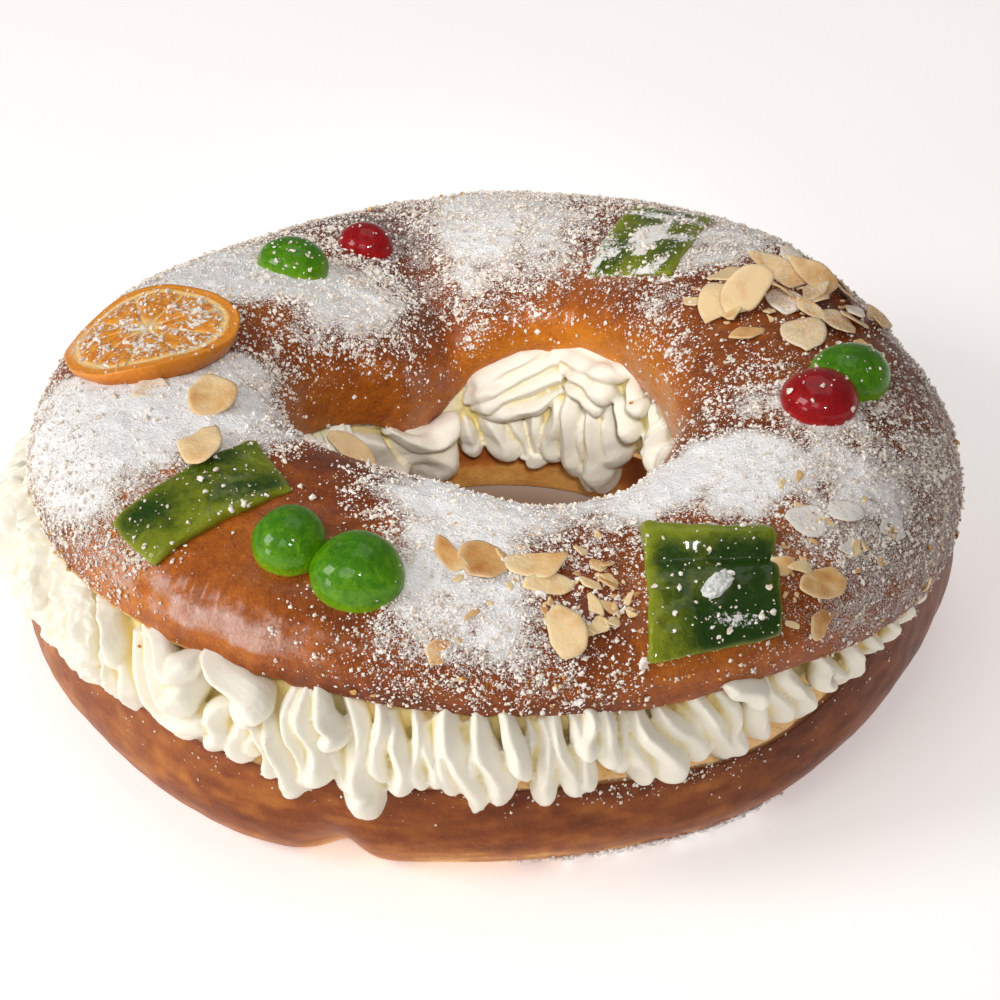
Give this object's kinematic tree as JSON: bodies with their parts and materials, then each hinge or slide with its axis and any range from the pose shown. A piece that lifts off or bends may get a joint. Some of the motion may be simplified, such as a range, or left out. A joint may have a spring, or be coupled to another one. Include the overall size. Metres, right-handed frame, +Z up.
{
  "type": "cream-filled king cake",
  "caption": "Ring of sweet yeast bread, split and filled with piped whipped cream, its crown dressed with candied cherries, peel, an orange slice, flaked almonds and sugar.",
  "frame": {"origin": "on the table, in the middle of the cake's outline", "axes": "+Z up, -Y towards the side that faces the camera, +X to the right of it"},
  "size_m": [0.2853, 0.2962, 0.1032],
  "materials": {
    "base_crust": "baked sweet bread, brown crust with a paler cut edge",
    "cream": "piped whipped cream, soft sheen",
    "crown_crust": "egg-washed glossy brown crust, dusted and grained with sugar",
    "orange": "dried candied orange slice, sticky sheen",
    "peel": "green candied peel, translucent and syrupy",
    "green_cherry": "green glazed cherry, translucent and glossy",
    "red_cherry": "red glazed cherry, translucent and glossy"
  },
  "bodies": {
    "root": {"base_bread": "base_crust", "cream": "cream", "crown_bread": "crown_crust", "orange_slice": "orange", "candied_peel_1": "peel", "candied_peel_2": "peel", "candied_peel_3": "peel", "green_cherry_1": "green_cherry", "green_cherry_2": "green_cherry", "green_cherry_3": "green_cherry", "green_cherry_4": "green_cherry", "red_cherry_1": "red_cherry", "red_cherry_2": "red_cherry"}
  },
  "joints": []
}
